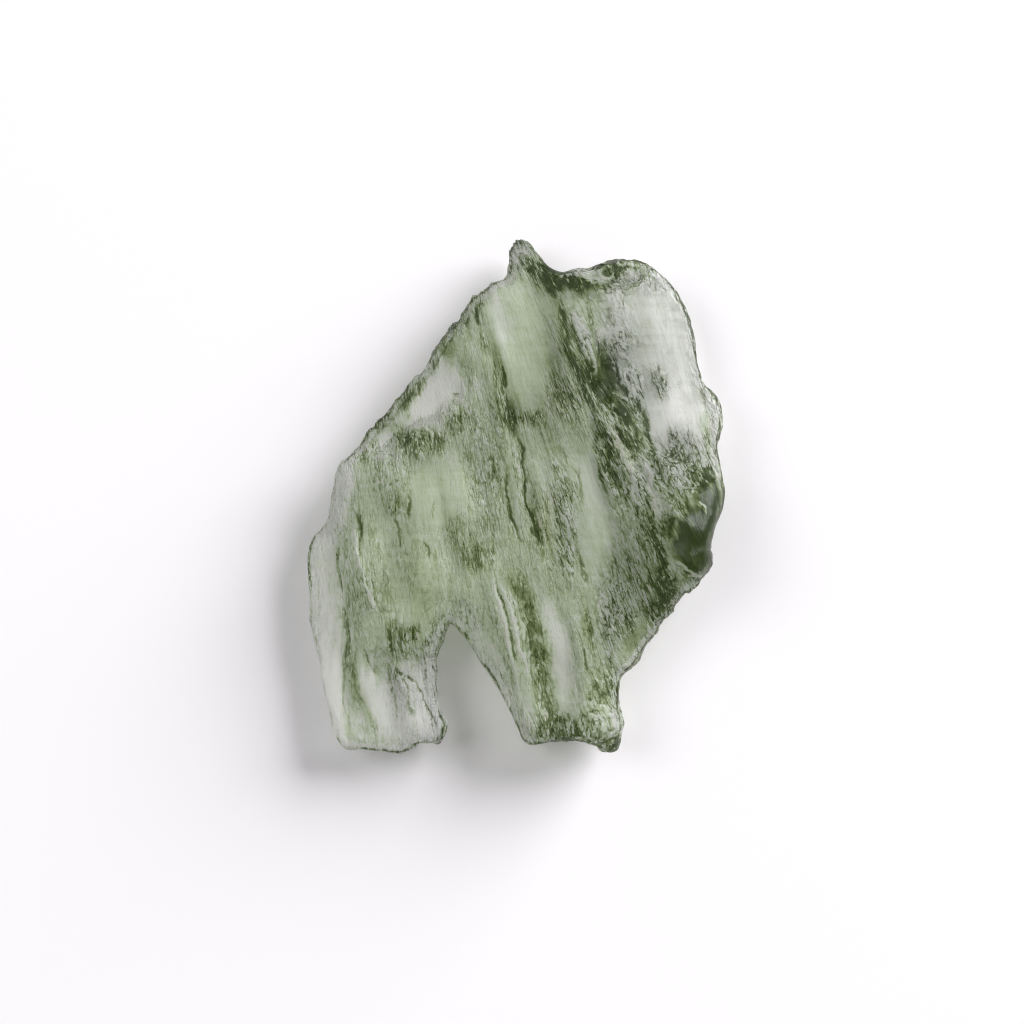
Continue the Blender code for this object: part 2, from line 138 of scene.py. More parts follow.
# Broad areas first, then the lesser ones that lie on them.
PATCHES = (
    # the smooth pale scoop, thin grey glass with a painted reflection, a spot painted darker against the
    # key light's glare, its dimple and its cluster of pits
    Patch((6.9, 7.4), (3.0, 4.0), -12, -0.02, -0.18, -1.0),
    Patch((8.1, 3.3), (1.7, 2.3), 4, -0.75, -0.3, -0.6),
    Patch((8.1, 7.2), (1.5, 3.8), 14, -0.1, -0.1, -1.0),
    Patch((7.7, 4.9), (0.7, 1.3), 0, 0.25, 0.1, -0.6),
    Patch((5.55, 7.9), (0.4, 0.4), 0, 0.8, 0.6, 0.0),
    Patch((5.0, 8.6), (0.9, 1.9), 14, -0.6, 0.5, -1.0),
    Patch((7.15, 5.6), (0.5, 0.75), 30, 0.5, 1.1, -0.2),
    # the deep green pit and the streak above it
    Patch((4.5, 5.6), (1.0, 1.7), 8, 1.6, -0.2, 0.5),
    Patch((4.7, 7.3), (0.5, 0.9), 0, 0.5, 0.5, 0.2),
    Patch((5.8, 5.4), (0.4, 1.9), 10, -0.3, 0.8, -0.4),
    # the clear window at the top, with its paler left side
    Patch((0.3, 7.4), (1.6, 3.2), 2, 0.0, -0.35, 0.0),
    Patch((-0.75, 8.6), (0.45, 1.7), 2, -0.35, -0.6, -0.5),
    # the crest: its dark knots, and the bright one between them
    Patch((2.1, 10.7), (1.3, 0.7), -12, 2.1, 0.7, 0.7),
    Patch((3.6, 10.35), (0.8, 0.35), 0, 1.5, 0.4, 0.4),
    Patch((3.1, 11.1), (0.4, 0.32), 0, -0.7, 0.8, -0.8),
    Patch((4.6, 11.3), (0.9, 0.5), 0, 2.6, 0.3, 0.3),
    Patch((6.3, 11.4), (1.1, 0.35), -6, 0.35, 0.5, 0.6),
    Patch((5.6, 10.95), (0.6, 0.25), 0, -0.4, 0.8, -0.3),
    Patch((6.3, 10.55), (1.2, 0.3), -6, -0.6, 0.6, -0.5),
    # the horn, dark towards its right root
    Patch((0.3, 11.9), (0.55, 0.8), 0, 0.25, 1.2, -0.5),
    Patch((1.15, 11.3), (0.55, 0.75), 25, 0.95, 0.7, 0.5),
    # the upper left shoulder: two pale hollows of thin glass with a painted reflection, a dark wrinkled
    # knot, and painted shade on the rim's facets
    Patch((-3.9, 4.9), (1.35, 1.85), -40, -1.6, -0.05, -0.2),
    Patch((-6.25, 2.5), (0.6, 0.65), 0, -1.2, 0.1, -0.2),
    Patch((-5.4, 3.2), (0.45, 0.55), -20, 0.7, 0.3, 0.3),
    Patch((-4.6, 2.6), (1.3, 0.65), 12, 0.85, 0.5, 0.5),
    Patch((-2.9, 3.9), (0.8, 0.7), 30, 0.55, 0.6, 0.3),
    Patch((-3.35, 7.2), (0.6, 0.4), -35, 0.9, -0.2, 0.4),
    Patch((-2.9, 8.5), (0.5, 0.5), -45, 0.8, 0.3, 0.3),
    Patch((-5.0, 5.35), (0.34, 0.9), -42, 1.1, 0.3, 0.5),
    Patch((-6.9, 3.45), (0.32, 1.0), -48, 0.95, 0.3, 0.9),
    Patch((-7.7, 2.2), (0.5, 0.6), -45, 0.5, 0.2, 0.3),
    Patch((-2.0, 9.5), (0.55, 0.35), -30, 0.4, 0.5, 0.4),
    # the dark streaks beside the window
    Patch((-0.95, 5.6), (0.38, 2.1), 6, 0.8, 0.4, 0.3),
    Patch((-0.15, 3.9), (0.4, 1.1), 8, 1.6, 0.3, 0.5),
    Patch((-1.55, 7.5), (0.25, 0.5), 10, 0.6, 0.4, 0.3),
    # the top of the band
    Patch((2.4, 8.3), (0.4, 1.8), 12, 0.8, 0.3, 0.5),
    Patch((3.2, 6.6), (0.45, 1.6), 14, 1.0, 0.3, 0.6),
    Patch((3.1, 8.2), (0.28, 1.4), 14, -0.6, 0.9, -0.7),
    Patch((2.3, 4.9), (0.9, 1.4), 10, 0.25, 0.5, 0.6),
    # the band's middle: smooth dark glass between ridges with painted highlights
    Patch((5.9, 1.6), (1.5, 5.0), 24, 0.05, 0.6, 0.1),
    Patch((5.9, 3.7), (0.55, 1.5), 22, 1.0, 0.0, 0.6),
    Patch((5.3, 2.6), (0.5, 1.0), 30, 0.8, 0.0, 0.6),
    Patch((4.5, 1.9), (0.45, 1.6), 18, 0.45, 0.9, 0.2),
    Patch((6.3, 0.6), (0.45, 1.2), 12, -0.3, 0.8, -0.5),
    # the wrinkled lower end of the scoop
    Patch((8.4, 1.9), (1.3, 1.4), 0, 0.1, 1.2, -0.2),
    Patch((7.9, 2.1), (0.5, 0.9), 8, 0.8, 0.9, 0.2),
    Patch((9.0, 1.0), (0.65, 0.5), -20, 0.85, 0.8, 0.3),
    Patch((8.0, 0.9), (0.4, 0.6), 20, -0.5, 0.9, -0.5),
    # the right rim
    Patch((9.1, 8.2), (0.28, 2.8), 16, 0.5, 0.5, -0.6),
    Patch((9.6, 4.9), (0.35, 1.1), 20, 0.45, 0.3, 0.1),
    Patch((9.55, 2.9), (0.16, 1.1), 2, 0.85, 0.2, 0.0),
    Patch((9.95, 2.6), (0.18, 1.3), 0, -0.4, 0.5, -0.6),
    # the thick dark lobe, and the deep green below it
    Patch((9.5, -1.9), (1.5, 2.3), 0, 2.8, -0.9, 0.1),
    Patch((8.3, -2.1), (0.9, 1.5), 10, 1.1, -0.5, 0.1),
    Patch((6.9, -3.2), (0.9, 1.5), 10, 0.6, 0.3, 0.2),
    Patch((7.4, -4.6), (1.2, 0.9), 35, 0.65, 0.2, 0.3),
    Patch((6.9, -5.5), (0.8, 1.5), -30, 0.6, 0.2, 0.4),
    Patch((6.0, -7.3), (0.8, 0.8), 0, 0.65, -0.3, 0.2),
    Patch((6.5, -1.3), (0.5, 0.9), 14, 0.6, 0.6, 0.3),
    # the etched streak, the clear flute and the grey speckled glass right of the middle
    Patch((2.4, -1.2), (0.75, 2.3), 4, -0.1, 0.9, -0.15),
    Patch((4.0, -0.6), (0.95, 3.0), 6, -0.4, -0.5, -0.1),
    Patch((5.3, -5.0), (1.1, 2.2), 8, -0.15, 0.8, -0.05),
    Patch((4.6, -6.5), (0.5, 1.6), 6, -0.25, 0.5, -0.3),
    # olive glass in the middle
    Patch((1.3, -1.4), (0.75, 1.6), 4, 0.2, 0.3, 0.9),
    Patch((0.5, 3.9), (0.9, 0.5), 0, 0.3, 0.7, 0.7),
    Patch((-2.0, -3.0), (0.65, 0.8), 0, 0.6, 0.25, 0.5),
    Patch((-2.8, -1.8), (0.4, 0.8), 0, 0.3, 0.25, 0.4),
    Patch((-1.5, 1.0), (0.8, 3.2), 3, 0.0, 0.35, 0.0),
    # the smooth left half
    Patch((-4.0, 0.2), (1.5, 1.3), 0, -0.08, -0.7, 0.0),
    Patch((-6.0, 0.6), (1.2, 1.5), 0, -0.05, 0.3, 0.0),
    Patch((-6.1, -0.5), (0.3, 0.4), 0, 0.35, 0.4, 0.3),
    Patch((-4.9, -4.6), (1.4, 1.9), 0, 0.12, -0.1, 0.1),
    Patch((-5.6, -6.9), (0.5, 0.9), 8, 0.25, 0.5, 0.3),
    Patch((-5.1, -6.6), (0.28, 0.4), 0, 0.4, 0.9, 0.2),
    Patch((-7.3, -5.0), (0.9, 1.6), 8, 0.1, 0.2, 0.0),
    # the thin pale left side, lightened further with painted light, most of all along its rim
    Patch((-9.6, -5.6), (1.0, 4.6), 4, -0.95, 0.05, -0.1),
    Patch((-9.0, -10.3), (0.9, 2.6), 8, -0.8, -0.4, 0.1),
    Patch((-8.6, 0.6), (0.6, 2.4), -10, -2.0, 0.3, -0.4),
    Patch((-8.9, -1.4), (0.3, 0.8), 0, -0.3, 0.4, -0.1),
    # the left foot: pale flutes of thin glass with a painted highlight, and green ones
    Patch((-5.2, -10.4), (2.2, 2.2), 0, -1.1, 0.08, -0.6),
    Patch((-7.1, -9.8), (0.5, 2.0), 14, -0.3, -0.25, -0.5),
    Patch((-7.6, -9.8), (0.3, 2.3), 14, 0.5, -0.2, 0.3),
    Patch((-5.7, -9.0), (0.4, 0.8), 6, 0.2, 0.4, 0.2),
    Patch((-5.1, -12.1), (0.3, 0.7), 0, 0.35, 0.3, 0.3),
    Patch((-4.1, -8.7), (0.35, 2.3), 2, -0.45, 0.6, -0.5),
    Patch((-3.75, -11.7), (0.22, 0.85), 0, 0.6, 0.8, -0.3),
    Patch((-4.35, -7.0), (0.2, 0.3), 0, 0.6, 1.0, 0.0),
    # the edge of the notch, paler with a painted highlight along it
    Patch((-2.6, -5.8), (0.9, 0.5), -30, -0.3, 0.4, -0.4),
    Patch((-0.9, -9.0), (0.4, 2.9), 26, -0.6, 0.1, -0.5),
    # the right foot: the olive band, the pale flutes, the dark sole and the toe with a painted highlight
    Patch((0.75, -6.0), (0.42, 2.2), 12, 0.85, 0.3, 0.8),
    Patch((1.45, -9.6), (0.35, 1.9), 10, 0.65, 0.3, 0.6),
    Patch((1.75, -6.6), (0.5, 2.3), 16, -0.75, -0.1, -0.5),
    Patch((2.5, -9.1), (0.75, 1.7), 14, -0.5, -0.1, -0.2),
    Patch((0.6, -10.5), (0.45, 1.7), 16, -0.4, -0.1, 0.0),
    Patch((3.7, -6.5), (0.25, 1.5), 12, 0.45, 0.3, 0.6),
    Patch((4.4, -9.6), (0.8, 1.3), 0, 0.5, 0.3, 0.2),
    Patch((2.6, -11.3), (1.3, 0.7), 0, 0.45, 0.9, 0.2),
    Patch((3.3, -11.95), (1.9, 0.3), 0, 1.9, 0.2, 0.6),
    Patch((4.7, -12.2), (0.4, 0.4), 0, 0.9, 0.0, 0.7),
    Patch((4.2, -10.9), (0.4, 0.25), 0, -0.3, 0.4, -0.2),
)

# A stroke's deeper colour is painted shade and its paler colour a painted highlight.
STROKES = (
    # painted shade along the rim of the upper left, and a short groove with painted shade in the hollow
    # beside it
    Stroke(((-7.4, 2.7), (-7.1, 3.0), (-5.25, 5.2), (-3.4, 7.6), (-2.05, 9.4)), 0.28, 0.0, 0.7),
    Stroke(((-3.15, 5.0), (-2.85, 5.05), (-2.65, 5.3)), 0.05, -0.04, 1.4),
    # thin grooves in the middle and on the left, with painted shade in them
    Stroke(((-2.1, 9.3), (-1.9, 8.7), (-1.75, 8.1)), 0.07, -0.06, 1.1),
    Stroke(((-0.9, 6.7), (-0.6, 5.9), (-0.45, 5.5)), 0.08, -0.07, 1.3),
    Stroke(
        ((0.1, 3.2), (0.4, 2.1), (0.65, 0.4), (0.8, -0.9), (0.95, -1.9), (1.2, -3.0)),
        0.065, -0.08, 1.3,
    ),
    Stroke(((0.8, -1.2), (0.92, -2.0), (1.05, -2.5)), 0.16, -0.06, 1.0),
    Stroke(((-0.45, 1.3), (-0.35, 0.3), (-0.15, -0.7), (0.1, -1.6), (0.5, -2.3)), 0.07, -0.06, 1.0),
    Stroke(((-1.2, 2.1), (-1.1, 0.8)), 0.08, -0.05, 0.8),
    Stroke(((-6.1, -0.9), (-5.75, -1.9), (-5.5, -2.6)), 0.07, -0.05, 0.9),
    Stroke(((-5.5, 0.0), (-5.35, -1.2)), 0.07, -0.04, 0.7),
    Stroke(((-4.5, -2.1), (-4.25, -3.1)), 0.06, -0.04, 0.7),
    Stroke(((-3.95, -2.6), (-3.85, -3.2)), 0.06, -0.04, 0.6),
    Stroke(((-4.2, -0.2), (-4.15, -1.2)), 0.06, -0.04, 0.5),
    # the left half's rib with a painted highlight, and the groove with painted shade beside it
    Stroke(
        ((-8.15, -1.5), (-7.75, -2.5), (-7.25, -3.9), (-6.95, -5.2), (-6.85, -5.8), (-6.45, -6.15)),
        0.07, 0.06, -1.1,
    ),
    Stroke(((-7.85, -0.7), (-7.65, -2.1), (-7.45, -2.9)), 0.08, -0.06, 0.8),
    # the step that bounds the thin left side: painted shade in its groove and a painted highlight on its
    # ridge
    Stroke(((-8.85, -1.2), (-8.55, -4.2), (-8.25, -7.2), (-8.5, -10.2), (-8.15, -12.4)), 0.08, -0.06, 0.7),
    Stroke(((-8.5, -2.4), (-8.3, -5.6), (-8.05, -8.4)), 0.12, 0.06, -0.35),
    # the left foot: grooves with painted shade and one ridge with a painted highlight
    Stroke(((-7.75, -7.6), (-7.15, -8.2), (-6.5, -8.8)), 0.09, -0.05, 0.6),
    Stroke(
        ((-5.75, -8.0), (-5.25, -8.8), (-4.85, -9.2), (-4.5, -10.0), (-4.15, -10.8), (-3.95, -11.6)),
        0.07, -0.06, 1.2,
    ),
    Stroke(((-5.9, -8.2), (-5.85, -11.2)), 0.06, -0.04, 1.0),
    Stroke(((-5.25, -8.7), (-5.2, -11.2)), 0.06, -0.04, 1.0),
    Stroke(((-8.1, -8.0), (-7.6, -10.2), (-7.0, -11.8), (-6.5, -12.5)), 0.12, -0.06, 0.35),
    Stroke(((-7.6, -8.4), (-7.1, -10.4), (-6.5, -12.2)), 0.12, 0.07, -0.4),
    Stroke(((-6.2, -6.4), (-5.85, -7.6)), 0.10, -0.08, 1.2),
    # the band's ridges, with painted highlights along them
    Stroke(
        ((4.5, 4.3), (4.75, 3.3), (5.15, 2.6), (5.55, 1.8), (5.85, 0.8), (5.9, -0.2), (6.25, -0.6)),
        0.12, 0.07, -1.1,
    ),
    Stroke(
        ((5.9, 2.8), (6.25, 2.1), (6.65, 1.3), (6.75, 0.3), (7.0, -0.3), (7.65, -1.1), (8.15, -1.6)),
        0.15, 0.08, -1.1,
    ),
    Stroke(((8.0, -3.0), (8.75, -3.6), (9.3, -4.0)), 0.10, 0.05, -1.6),
    Stroke(((8.75, -0.2), (9.1, -0.6), (9.25, -1.1)), 0.05, 0.02, -2.2),
    Stroke(((6.8, -0.2), (6.95, -1.0), (7.05, -2.2)), 0.12, 0.07, -0.8),
    Stroke(((7.65, -1.2), (7.85, -2.2)), 0.10, 0.06, -0.8),
    Stroke(((6.75, -2.6), (7.0, -3.4)), 0.07, 0.06, -0.9),
    # the band's grooves with painted shade in them, and two low ridges with painted highlights
    Stroke(((4.6, 2.8), (4.85, 1.8), (5.15, 0.8), (5.4, 0.1), (5.7, -0.5)), 0.10, -0.08, 0.9),
    Stroke(((4.25, 1.6), (4.6, 0.6), (4.8, -0.1)), 0.09, -0.07, 0.9),
    Stroke(((4.9, 3.6), (5.3, 2.9), (5.8, 2.5)), 0.14, -0.08, 0.7),
    Stroke(((6.3, 4.6), (6.6, 3.2), (7.0, 1.8), (7.2, 0.9)), 0.10, -0.08, 0.9),
    Stroke(((2.3, 9.6), (2.5, 8.4), (2.7, 7.6)), 0.09, -0.07, 0.8),
    Stroke(((2.9, 9.3), (3.1, 8.0), (3.6, 6.8), (4.0, 5.8)), 0.10, 0.08, -0.7),
    Stroke(((5.3, 6.9), (5.6, 5.7), (6.0, 4.8)), 0.09, 0.02, -0.9),
    Stroke(((5.1, 7.2), (5.35, 6.2), (5.7, 5.2)), 0.08, -0.07, 0.7),
    Stroke(((2.9, 1.5), (3.2, 0.3), (3.45, -0.5)), 0.08, -0.06, 0.6),
    Stroke(((3.1, -2.4), (3.4, -3.3), (3.6, -4.3)), 0.08, -0.06, 0.6),
    # the right foot's ridges with painted highlights, and grooves with painted shade
    Stroke(((-1.25, -3.7), (-0.9, -5.2), (-0.55, -6.7), (-0.2, -8.4), (0.2, -10.0)), 0.07, 0.07, -1.0),
    Stroke(((-0.75, -4.2), (-0.15, -5.7), (0.25, -7.2), (0.6, -8.7), (0.7, -9.2)), 0.07, 0.07, -1.1),
    Stroke(((-1.0, -4.2), (-0.5, -6.0), (-0.05, -7.6), (0.1, -8.6)), 0.07, -0.08, 0.9),
    Stroke(((-0.3, -4.4), (0.2, -5.7), (0.6, -7.2)), 0.07, 0.07, -0.6),
    Stroke(((3.0, -6.2), (3.4, -7.7), (3.75, -8.9)), 0.07, -0.06, 0.8),
    Stroke(((0.9, -10.0), (1.25, -11.2), (1.6, -12.0)), 0.07, -0.05, 0.5),
    Stroke(((3.8, -10.4), (4.1, -10.75), (4.5, -10.6)), 0.08, 0.06, -0.8),
    Stroke(((4.85, -10.6), (5.0, -11.1), (5.15, -11.6)), 0.09, 0.05, -1.1),
    Stroke(((4.3, -11.2), (4.55, -11.7), (4.9, -11.5)), 0.08, 0.05, -0.9),
    # the scoop's rim line, a shallow groove with painted shade in it
    Stroke(
        ((7.65, 10.6), (8.3, 9.6), (8.65, 8.6), (8.9, 7.6), (9.1, 6.6), (9.25, 5.9), (9.65, 5.2)),
        0.08, -0.05, 1.5,
    ),
    # the edge of the crest, with painted highlights along it
    Stroke(((1.9, 10.6), (2.75, 10.9), (3.5, 10.6), (4.25, 10.7), (5.35, 11.5)), 0.06, 0.03, -1.1),
    Stroke(((6.75, 11.2), (7.5, 10.6)), 0.06, 0.03, -1.2),
)

# The etched rim, its greyer glass, the band of painted shade beside it and the painted highlight along its
# lip.
RINGS = (
    Ring(0.0, 0.1, 0.8, etch=0.3),
    Ring(0.0, 0.2, 0.8, warmth=-0.35),
    # painted shade in a band just inside the outline
    Ring(0.3, 0.05, 0.3, shade=0.14),
    # a painted highlight along the lip, on the upper side only
    Ring(0.27, 0.05, 0.2, shade=-1.2, only_upper=True),
)


def noise_at(points: np.ndarray, scales: tuple[float, float, float], shift: float = 0.0) -> np.ndarray:
    """Reads smooth noise at many points.

    Args:
        points: One row of three coordinates for each point.
        scales: The size of the noise's lumps along each coordinate.
        shift: Moves the noise, so that two readings of one place differ.

    Returns:
        One number for each point, mostly between -0.6 and 0.6.
    """
    places = (points / scales + shift).tolist()
    return np.array([noise.noise(Vector(place)) for place in places])


def fade(distance: np.ndarray, solid: float, gone: float) -> np.ndarray:
    """Falls smoothly from one to nothing between two distances.

    Args:
        distance: The distances to read it at.
        solid: Up to here the result is one.
        gone: From here on the result is nothing.

    Returns:
        One number from nothing to one for each distance.
    """
    share = np.clip((gone - distance) / (gone - solid), 0.0, 1.0)
    return share * share * (3.0 - 2.0 * share)


@dataclass(frozen=True)
class FlowField:
    """The direction of the stone's wrinkles: upright at its sides and leaning in its band.

    Attributes:
        lanes: Places across the stone, each one the foot of a wrinkle on the line y = 0.
        leans: How far a wrinkle at each of them leans left for each millimetre that it rises.
        rounds: Steps that it takes to find the lane through a point.
    """

    lanes: tuple[float, ...] = (-11.0, -5.0, 0.0, 4.0, 7.0, 9.0, 12.0)
    leans: tuple[float, ...] = (0.05, 0.12, 0.20, 0.38, 0.50, 0.35, 0.20)
    rounds: int = 10

    def along(self, points: np.ndarray) -> np.ndarray:
        """Turns points into places along and across the wrinkles.

        Args:
            points: One row of x, y and z for each point.

        Returns:
            One row of lane, y and z for each point.
        """
        x, y, z = points.T
        lane = x
        for _ in range(self.rounds):
            lane = x + y * np.interp(lane, self.lanes, self.leans)
        return np.stack((lane, y, z), axis=1)


@dataclass(frozen=True)
class Wrinkles:
    """One size of the long creases and lumps that the soil etched along the stone's flow.

    Attributes:
        width: The size of a crease across the flow.
        length: Its size along the flow.
        height: How far the surface moves between crease and crest.
        crease: From nothing for round lumps to one for sharp creases between wide crests.
        everywhere: The share of the height that smooth glass keeps.
        shift: Sets this size apart from the others.
        thickness: Its size in depth, in widths.
        steepness, middle: How fast a crease's sides rise, and its middle height.
    """

    width: float
    length: float
    height: float
    crease: float
    everywhere: float
    shift: float
    thickness: float = 1.5
    steepness: float = 2.0
    middle: float = 0.45

    def relief(self, flow: np.ndarray, etch: np.ndarray) -> np.ndarray:
        """Works out how far these wrinkles move the surface.

        Args:
            flow: One row of lane, y and z for each point.
            etch: How strongly each point is etched, from nothing to one.

        Returns:
            One outward move in millimetres for each point.
        """
        lumps = noise_at(flow, (self.width, self.length, self.width * self.thickness), self.shift)
        creases = self.steepness * np.abs(lumps) - self.middle
        shape = self.crease * creases + (1.0 - self.crease) * lumps
        return self.height * shape * (self.everywhere + (1.0 - self.everywhere) * etch)


WRINKLES = (
    Wrinkles(width=1.1, length=6.0, height=0.2, crease=0.3, everywhere=0.15, shift=3.1),
    Wrinkles(width=0.5, length=2.4, height=0.15, crease=0.6, everywhere=0.12, shift=17.7),
    Wrinkles(width=0.24, length=0.6, height=0.08, crease=0.5, everywhere=0.1, shift=41.3),
)


@dataclass
class Paint:
    """What is worked out for each point of the stone's surface.

    Attributes:
        flow: Lane, y and z, for the wrinkles that follow the flow.
        shade: Depth of colour, with painted shade and highlights in it, nothing for the middle tone and
            negative for paler.
        etch: From nothing for smooth glass to one for strongly etched.
        warmth: From -1 for grey to 1 for olive.
        relief: How far the strokes lift the surface.
        mark: The painted shade or highlight of the nearest stroke or of the rim's thin line, nothing away
            from it.
        offset: How far off that stroke's middle it is, in half widths, negative on its right.
        fray: How far a patch's edge is pushed out there, as a share of the patch's size.
    """

    flow: np.ndarray
    shade: np.ndarray
    etch: np.ndarray
    warmth: np.ndarray
    relief: np.ndarray
    mark: np.ndarray
    offset: np.ndarray
    fray: np.ndarray


@dataclass
class EtchedStone:
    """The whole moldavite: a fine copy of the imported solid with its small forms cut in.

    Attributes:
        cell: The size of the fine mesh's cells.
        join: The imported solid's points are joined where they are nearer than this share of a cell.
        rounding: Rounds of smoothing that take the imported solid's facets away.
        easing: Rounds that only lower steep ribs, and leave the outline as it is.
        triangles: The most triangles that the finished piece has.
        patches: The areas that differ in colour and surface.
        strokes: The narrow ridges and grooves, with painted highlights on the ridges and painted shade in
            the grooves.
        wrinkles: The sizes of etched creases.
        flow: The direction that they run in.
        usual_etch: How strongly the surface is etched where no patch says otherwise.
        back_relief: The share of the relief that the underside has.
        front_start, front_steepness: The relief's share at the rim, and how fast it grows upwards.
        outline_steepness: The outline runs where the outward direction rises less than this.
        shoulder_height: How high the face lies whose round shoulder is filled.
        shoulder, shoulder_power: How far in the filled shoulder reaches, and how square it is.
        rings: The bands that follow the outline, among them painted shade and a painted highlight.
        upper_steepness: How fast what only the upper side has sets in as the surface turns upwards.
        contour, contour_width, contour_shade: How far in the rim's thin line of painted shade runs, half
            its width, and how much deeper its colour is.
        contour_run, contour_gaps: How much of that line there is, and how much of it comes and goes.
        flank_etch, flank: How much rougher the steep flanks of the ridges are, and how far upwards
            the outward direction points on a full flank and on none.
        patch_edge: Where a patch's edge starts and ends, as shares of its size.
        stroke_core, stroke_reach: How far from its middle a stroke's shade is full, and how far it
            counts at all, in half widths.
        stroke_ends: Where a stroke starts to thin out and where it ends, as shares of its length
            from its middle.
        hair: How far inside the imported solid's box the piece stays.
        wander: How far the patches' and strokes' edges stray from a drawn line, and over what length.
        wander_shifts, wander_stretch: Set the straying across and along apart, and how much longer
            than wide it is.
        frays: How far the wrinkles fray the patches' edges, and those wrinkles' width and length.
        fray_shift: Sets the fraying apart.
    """

    cell: float = 0.085
    join: float = 0.01
    rounding: int = 8
    easing: int = 40
    triangles: int = 196_000
    patches: tuple[Patch, ...] = PATCHES
    strokes: tuple[Stroke, ...] = STROKES
    wrinkles: tuple[Wrinkles, ...] = WRINKLES
    flow: FlowField = field(default_factory=FlowField)
    usual_etch: float = 0.13
    back_relief: float = 0.35
    front_start: float = 0.6
    front_steepness: float = 2.0
    outline_steepness: float = 0.12
    shoulder_height: float = 1.4
    shoulder: float = 1.0
    shoulder_power: float = 1.6
    rings: tuple[Ring, ...] = RINGS
    upper_steepness: float = 3.0
    contour: float = 0.1
    contour_width: float = 0.06
    contour_shade: float = 1.0
    contour_run: float = 0.45
    contour_gaps: float = 2.5
    flank_etch: float = 0.3
    flank: tuple[float, float] = (0.8, 0.96)
    patch_edge: tuple[float, float] = (0.35, 1.5)
    stroke_core: float = 1.6
    stroke_reach: float = 2.6
    stroke_ends: tuple[float, float] = (0.3, 0.51)
    hair: float = 0.0001
    wander: tuple[tuple[float, float], ...] = ((0.4, 1.6), (0.15, 0.5))
    wander_shifts: tuple[float, float] = (5.2, 71.9)
    wander_stretch: float = 2.0
    frays: tuple[tuple[float, float, float], ...] = ((0.5, 0.5, 2.6), (0.4, 0.22, 0.9))
    fray_shift: float = 33.0

    def build(self, node: bpy.types.Object, material: bpy.types.Material) -> bpy.types.Object:
        """Makes the stone's piece.

        Args:
            node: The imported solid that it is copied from.
            material: The stone's finish.

        Returns:
            The finished piece, in metres, with its place in its mesh.
        """
        stone = self.fine_copy(node)
        self.carve(stone.data)
        self.thin(stone)
        self.keep_inside(stone.data)
        self.store(stone.data)
        stone.data.transform(Matrix.Scale(MM, 4))
        stone.data.shade_smooth()
        stone.data.materials.clear()
        stone.data.materials.append(material)
        return stone

    def fine_copy(self, node: bpy.types.Object) -> bpy.types.Object:
        """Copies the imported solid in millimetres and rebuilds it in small, even cells.

        Args:
            node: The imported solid.

        Returns:
            A new object with the rounded copy.
        """
        mesh = bpy.data.meshes.new("moldavite_glass")
        shape = bmesh.new()
        shape.from_mesh(node.data)
        bmesh.ops.transform(shape, matrix=Matrix.Scale(1.0 / MM, 4), verts=shape.verts)
        bmesh.ops.remove_doubles(shape, verts=shape.verts, dist=self.cell * self.join)
        shape.to_mesh(mesh)
        shape.free()
        stone = bpy.data.objects.new("moldavite_glass", mesh)
        bpy.context.scene.collection.objects.link(stone)
        remesh = stone.modifiers.new("cells", "REMESH")
        remesh.mode = "VOXEL"
        remesh.voxel_size = self.cell
        smooth = stone.modifiers.new("rounding", "SMOOTH")
        smooth.iterations = self.rounding
        ease = stone.modifiers.new("easing", "SMOOTH")
        ease.iterations = self.easing
        ease.use_x = ease.use_y = False
        self.apply(stone)
        return stone

    def apply(self, stone: bpy.types.Object) -> None:
        """Puts the result of the stone's modifiers into its mesh.

        Args:
            stone: The object whose modifiers are applied.
        """
        evaluated = stone.evaluated_get(bpy.context.evaluated_depsgraph_get())
        mesh = bpy.data.meshes.new_from_object(evaluated)
        stone.modifiers.clear()
        stone.data = mesh

    def thin(self, stone: bpy.types.Object) -> None:
        """Merges cells where the surface is smooth until the piece is within its limit.

        Args:
            stone: The carved stone.
        """
        count = sum(len(face.vertices) - 2 for face in stone.data.polygons)
        if count > self.triangles:
            decimate = stone.modifiers.new("thin", "DECIMATE")
            decimate.ratio = self.triangles / count
            self.apply(stone)

    def carve(self, mesh: bpy.types.Mesh) -> None:
        """Squares the rim and cuts the strokes and wrinkles.

        Args:
            mesh: The rounded copy, in millimetres.
        """
        points, normals = read_surface(mesh)
        self.find_outline(points, normals)
        points = self.square_shoulder(points)
        paint = self.paint(points, normals)
        front = np.clip(normals[:, 2] * self.front_steepness + self.front_start, 0.0, 1.0)
        front = self.back_relief + (1.0 - self.back_relief) * front
        lift = paint.relief
        for size in self.wrinkles:
            lift = lift + size.relief(paint.flow, paint.etch)
        moved = points + normals * (lift * front)[:, None]
        mesh.vertices.foreach_set("co", moved.ravel())
        mesh.update()

    def keep_inside(self, mesh: bpy.types.Mesh) -> None:
        """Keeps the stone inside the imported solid's box.

        Args:
            mesh: The carved and thinned shape, in millimetres.
        """
        points, _ = read_surface(mesh)
        lowest, highest = (np.array(corner) / MM for corner in CAD_BOX)
        inside = np.clip(points, lowest + self.hair, highest - self.hair)
        mesh.vertices.foreach_set("co", inside.ravel())
        mesh.update()

    def find_outline(self, points: np.ndarray, normals: np.ndarray) -> None:
        """Notes where the stone's outline runs.

        Args:
            points: One row of x, y and z for each point of the rounded copy.
            normals: The outward direction there.
        """
        outline = points[np.abs(normals[:, 2]) < self.outline_steepness]
        self.outline = KDTree(len(outline))
        for index, (x, y, _) in enumerate(outline):
            self.outline.insert((x, y, 0.0), index)
        self.outline.balance()

